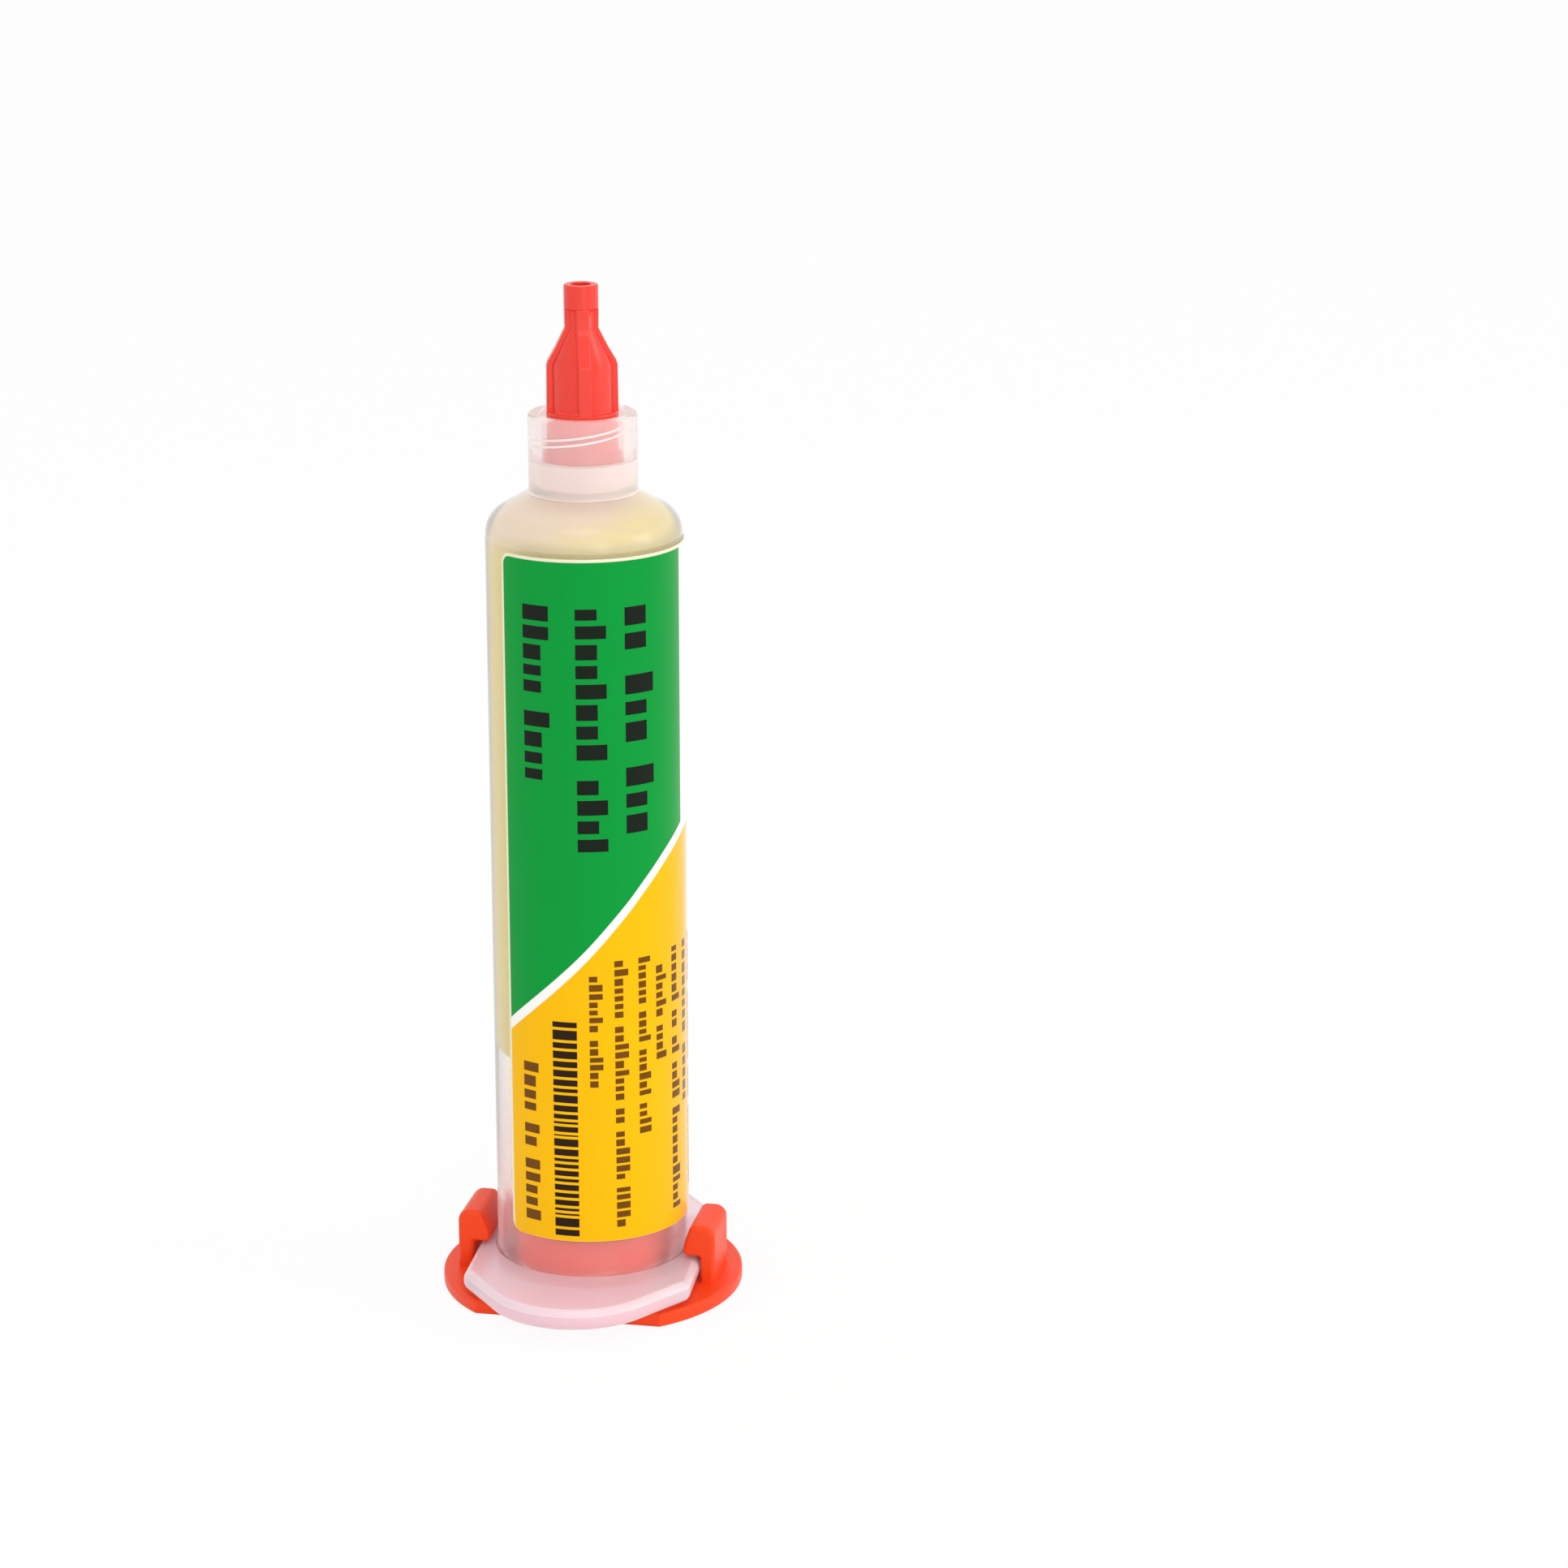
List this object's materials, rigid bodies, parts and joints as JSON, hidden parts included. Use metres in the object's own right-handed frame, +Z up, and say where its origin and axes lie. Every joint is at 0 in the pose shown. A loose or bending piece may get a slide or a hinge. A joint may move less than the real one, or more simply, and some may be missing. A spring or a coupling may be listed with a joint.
{
  "type": "flux syringe",
  "caption": "Flux paste syringe: clear barrel with printed label, piston and paste inside, ribbed tip cap on its nozzle collar and a hooked end cap that it stands on.",
  "frame": {"origin": "centre of the end cap's underside, which the syringe stands on", "axes": "+Z up along the barrel towards the nozzle, +X through one snap hook, +Y through one finger grip"},
  "size_m": [0.0312, 0.0388, 0.105],
  "materials": {
    "barrel_plastic": "translucent natural polypropylene",
    "end_cap_plastic": "satin red-orange",
    "paste": "soft yellowish paste",
    "label_film": "satin printed film",
    "piston_plastic": "satin natural plastic",
    "tip_cap_plastic": "satin red"
  },
  "bodies": {
    "barrel": {"barrel": "barrel_plastic", "end_cap": "end_cap_plastic", "flux_paste": "paste", "label": "label_film"},
    "piston": {"piston": "piston_plastic"},
    "tip_cap": {"tip_cap": "tip_cap_plastic"}
  },
  "joints": [
    {"name": "piston_slide", "type": "slide", "parent": "barrel", "child": "piston", "axis": [0, 0, 1], "range_m": [0, 0.053], "deforming": ["flux_paste"]},
    {"name": "tip_cap_slide", "type": "slide", "parent": "barrel", "child": "tip_cap", "axis": [0, 0, 1], "range_m": [0, 0.015]}
  ]
}
